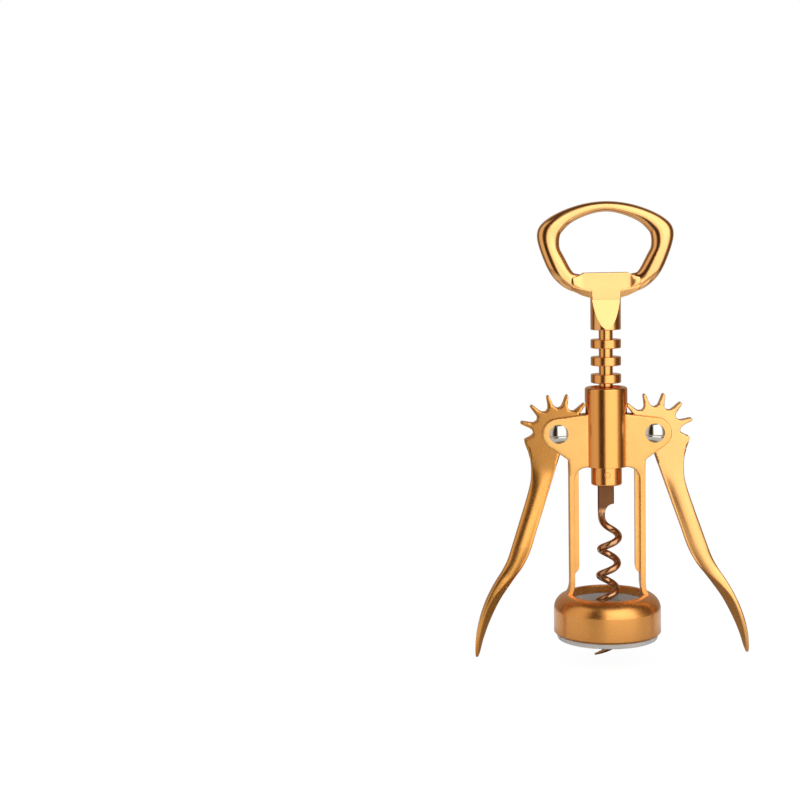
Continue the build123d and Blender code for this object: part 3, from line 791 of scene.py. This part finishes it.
def foot_depth(x, z):
    """Half thickness of the strip: thin below, so that its face looks down."""
    out = x - FOOT_LOW[0]
    low = FOOT_LOW[1] + FOOT_SLOPE * out + FOOT_BEND * out * out
    share = max(0.0, min(1.0, (z - low) / FOOT_HEIGHT))
    return FOOT_THIN + FOOT_SWELL * share


def band_feet(material):
    """Bevelled strips that carry the band's lower edge on to the neck."""
    low = Vector(FOOT_LOW)
    inside = grid_points(low, Vector(FOOT_HIGH), FOOT_GRID)
    right, right_faces = relief(foot_outline(), inside, foot_depth, FOOT_EDGE)
    count = len(right)
    points = right + [Vector((-p.x, p.y, p.z)) for p in right]
    faces = right_faces + [tuple(i + count for i in reversed(face)) for face in right_faces]
    own_piece("band_feet", points, faces, material, "screw")


# ---------------------------------------------------------------- stage and light

MIDDLE = Vector((0.0, 0.0, 80.0)) * MM
CARD_DISTANCE = 0.9
FLOOR_Z = -8.2 * MM
FLOOR_RADIUS = 0.26
FLOOR_DIM = 0.045
FLOOR_BRIGHT = 0.065
FLOOR_FADE = 0.15


def toward(azimuth, elevation):
    """Direction from the object: azimuth 0 is the front and grows to the right, in degrees."""
    a = math.radians(azimuth)
    e = math.radians(elevation)
    return Vector((math.sin(a) * math.cos(e), -math.cos(a) * math.cos(e), math.sin(e)))


# Brightness of the cards round the object by azimuth in degrees, chosen so that light and dark
# fall on the metal as in the photo. The key light stands before the brightest ones.
CARD_LEVELS = (
    (-180.0, 0.4), (-135.0, 0.35), (-106.0, 0.1), (-92.0, 0.7), (-54.0, 0.78), (-36.0, 0.06),
    (-19.0, 0.03), (-12.0, 0.3), (-5.0, 1.5), (52.0, 1.5), (66.0, 0.5), (84.0, 0.12),
    (110.0, 0.12), (135.0, 0.35), (180.0, 0.4),
)
WARM_DARK = (1.0, 0.66, 0.40)
CARD_FOOT = -0.45
CARD_HEAD = 1.4
CARD_STEP = 2.0
SKIRT_RADIUS = 0.13
SKIRT_HEAD = 18.0 * MM


def card_level(azimuth):
    """Brightness of the ring of cards at an azimuth, with soft steps between the levels."""
    for (first, low), (last, high) in zip(CARD_LEVELS, CARD_LEVELS[1:]):
        if azimuth <= last:
            share = (azimuth - first) / (last - first)
            return low + (high - low) * share * share * (3.0 - 2.0 * share)
    return CARD_LEVELS[-1][1]


def reflected_card(name, points, faces, levels):
    """Studio card that is seen only in reflections; each point has its own brightness."""
    mesh = bpy.data.meshes.new(name)
    mesh.from_pydata(points, [], faces)
    attribute = mesh.attributes.new("level", "FLOAT", "POINT")
    attribute.data.foreach_set("value", levels)
    material, tree, output = new_material(name)
    level = tree.nodes.new("ShaderNodeAttribute")
    level.attribute_name = "level"
    emission = tree.nodes.new("ShaderNodeEmission")
    tree.links.new(level.outputs["Fac"], emission.inputs["Strength"])
    lit = map_range(tree, level.outputs["Fac"], 0.1, 1.0, 0.0, 1.0)
    tree.links.new(blend_colours(tree, lit, WARM_DARK, (1.0, 1.0, 1.0)), emission.inputs["Color"])
    tree.links.new(emission.outputs[0], output.inputs["Surface"])
    mesh.materials.append(material)
    piece = bpy.data.objects.new(name, mesh)
    bpy.context.scene.collection.objects.link(piece)
    piece.visible_camera = False
    piece.visible_diffuse = False
    piece.visible_shadow = False
    piece.visible_transmission = False


def ring_of_cards(name, radius, foot, head):
    """Upright grey cards all round the object."""
    count = int(360.0 / CARD_STEP)
    points = []
    levels = []
    for index in range(count + 1):
        azimuth = -180.0 + index * CARD_STEP
        side = toward(azimuth, 0.0) * radius
        for height in (foot, head):
            points.append(side + Vector((0.0, 0.0, height)))
            levels.append(card_level(azimuth))
    faces = [(2 * i, 2 * i + 1, 2 * i + 3, 2 * i + 2) for i in range(count)]
    reflected_card(name, points, faces, levels)


CEILING_LEVEL = 0.1
CEILING_CORNERS = 36


def ceiling_card():
    """Round grey card over the object."""
    points = [toward(360.0 * i / CEILING_CORNERS, 0.0) * CARD_DISTANCE
              + Vector((0.0, 0.0, CARD_HEAD)) for i in range(CEILING_CORNERS)]
    reflected_card("card_top", points, [tuple(range(CEILING_CORNERS))],
                   [CEILING_LEVEL] * CEILING_CORNERS)


WORLD_STRENGTH = 0.8
WHITE = (1.0, 1.0, 1.0, 1.0)


def make_world():
    """Even light all round: white to the camera, and in reflections where no card is before it."""
    world = bpy.data.worlds.new("world")
    bpy.context.scene.world = world
    world.use_nodes = True
    tree = world.node_tree
    tree.nodes.clear()
    output = tree.nodes.new("ShaderNodeOutputWorld")
    path = tree.nodes.new("ShaderNodeLightPath")
    seen = math_node(tree, "MAXIMUM", path.outputs["Is Camera Ray"],
                     path.outputs["Is Glossy Ray"])
    any_seen = math_node(tree, "MAXIMUM", seen, path.outputs["Is Transmission Ray"])
    lit = tree.nodes.new("ShaderNodeBackground")
    lit.inputs["Color"].default_value = WHITE
    lit.inputs["Strength"].default_value = WORLD_STRENGTH
    white = tree.nodes.new("ShaderNodeBackground")
    white.inputs["Color"].default_value = WHITE
    white.inputs["Strength"].default_value = 1.0
    mix = tree.nodes.new("ShaderNodeMixShader")
    tree.links.new(any_seen, mix.inputs["Fac"])
    tree.links.new(lit.outputs[0], mix.inputs[1])
    tree.links.new(white.outputs[0], mix.inputs[2])
    tree.links.new(mix.outputs[0], output.inputs["Surface"])


FLOOR_CORNERS = 96
# What reflections see of the floor: dark near the object and at the rim, pale between them
FLOOR_MIRRORED_DARK = (0.34, 0.29, 0.24)
FLOOR_MIRRORED_PALE = (0.82, 0.81, 0.79)
FLOOR_COLOUR = (0.72, 0.72, 0.72)
FLOOR_GLOW = 1.06
FLOOR_GLOW_SHARE = 0.9


def make_floor():
    """Round table top: nearly plain white to the camera, toned where the metal mirrors it."""
    mesh = bpy.data.meshes.new("floor")
    count = FLOOR_CORNERS
    rim = [(FLOOR_RADIUS * math.cos(2 * math.pi * i / count),
            FLOOR_RADIUS * math.sin(2 * math.pi * i / count), FLOOR_Z) for i in range(count)]
    mesh.from_pydata(rim, [], [tuple(range(count))])
    floor = bpy.data.objects.new("floor", mesh)
    bpy.context.scene.collection.objects.link(floor)
    material, tree, output = new_material("floor")
    path = tree.nodes.new("ShaderNodeLightPath")
    diffuse = tree.nodes.new("ShaderNodeBsdfDiffuse")
    away = distance_from_axis(tree, object_coords(tree))
    beyond = map_range(tree, away, FLOOR_DIM, FLOOR_BRIGHT, 0.0, 1.0)
    faded = map_range(tree, away, FLOOR_FADE, FLOOR_RADIUS, 1.0, 0.0)
    bright = math_node(tree, "MULTIPLY", beyond, faded)
    mirrored = blend_colours(tree, bright, FLOOR_MIRRORED_DARK, FLOOR_MIRRORED_PALE)
    tree.links.new(blend_colours(tree, path.outputs["Is Glossy Ray"], FLOOR_COLOUR, mirrored),
                   diffuse.inputs["Color"])
    white = tree.nodes.new("ShaderNodeEmission")
    white.inputs["Strength"].default_value = FLOOR_GLOW
    amount = math_node(tree, "MULTIPLY", path.outputs["Is Camera Ray"], FLOOR_GLOW_SHARE)
    mix = tree.nodes.new("ShaderNodeMixShader")
    tree.links.new(amount, mix.inputs["Fac"])
    tree.links.new(diffuse.outputs[0], mix.inputs[1])
    tree.links.new(white.outputs[0], mix.inputs[2])
    tree.links.new(mix.outputs[0], output.inputs["Surface"])
    mesh.materials.append(material)


def softbox(name, azimuth, elevation, distance, width, height, radiance):
    """Rectangular light aimed at the object."""
    data = bpy.data.lights.new(name, "AREA")
    data.shape = "RECTANGLE"
    data.size = width
    data.size_y = height
    data.energy = radiance * 2.0 * width * height
    lamp = bpy.data.objects.new(name, data)
    bpy.context.scene.collection.objects.link(lamp)
    way = toward(azimuth, elevation)
    lamp.location = MIDDLE + way * distance
    lamp.rotation_mode = "QUATERNION"
    lamp.rotation_quaternion = (-way).to_track_quat("-Z", "Y")
    lamp.visible_camera = False


KEY_AZIMUTH = 28.0
KEY_ELEVATION = 27.0
KEY_DISTANCE = 0.8
KEY_WIDTH = 1.1
KEY_HEIGHT = 1.7
KEY_RADIANCE = 0.45

make_camera()
make_world()
make_floor()
softbox("key", KEY_AZIMUTH, KEY_ELEVATION, KEY_DISTANCE, KEY_WIDTH, KEY_HEIGHT, KEY_RADIANCE)
ring_of_cards("card_ring", CARD_DISTANCE, CARD_FOOT, CARD_HEAD)
ring_of_cards("card_skirt", SKIRT_RADIUS, FLOOR_Z, SKIRT_HEAD)
ceiling_card()

CAST = cast_gold()
# The left lever's deeper, more orange tint is painted shade, a darker copy of the right lever's
# gold; the levers also differ in lacquer and in the left one's shading lean. The levers differ
# in tint, lacquer and shading only to follow the photo's tones
SATIN_LEFT_SHADED = plated("satin_gold_left_shaded", (0.94, 0.44, 0.09), 0.26, SATIN_GRAIN, 0.0000005,
                    lean=0.11, lacquer=0.6)
SATIN_RIGHT = plated("satin_gold_right", (0.95, 0.49, 0.14), 0.26, SATIN_GRAIN, 0.0000005)
POLISHED = plated("polished_gold", (0.95, 0.50, 0.16), 0.15, SMOOTH_GRAIN, 0.0000001)
TURNED = plated("turned_gold", (0.95, 0.42, 0.09), 0.2, SATIN_GRAIN, 0.0000003, 0.0000005)
BRONZE = plated("bronze_steel", (0.55, 0.29, 0.14), 0.18, SMOOTH_GRAIN, 0.0000003,
                zones=shank_zone, lacquer=0.25)
NICKEL = plated("nickel", (0.66, 0.65, 0.61), 0.05, SMOOTH_GRAIN, 0.0000001, lacquer=0.0)
LINER = clear_plastic()

dress("frame_casting", CAST)
cheek_plates(CAST)
lever_skin("wing_left", "lever_left", LEFT_OPENING, -1, SATIN_LEFT_SHADED)
lever_skin("wing_right", "lever_right", RIGHT_OPENING, 1, SATIN_RIGHT)
dress("handle", POLISHED)
handle_web(POLISHED)
band_feet(POLISHED)
for node in ("rack_sleeve", "worm_collar", "worm_pin"):
    dress(node, TURNED)
for node in ("spindle", "worm"):
    dress(node, BRONZE)
for node in ("pivot_rivet_left", "pivot_rivet_right"):
    dress(node, NICKEL)
dress("bell_liner", LINER)

bpy.context.scene.view_settings.view_transform = "Standard"
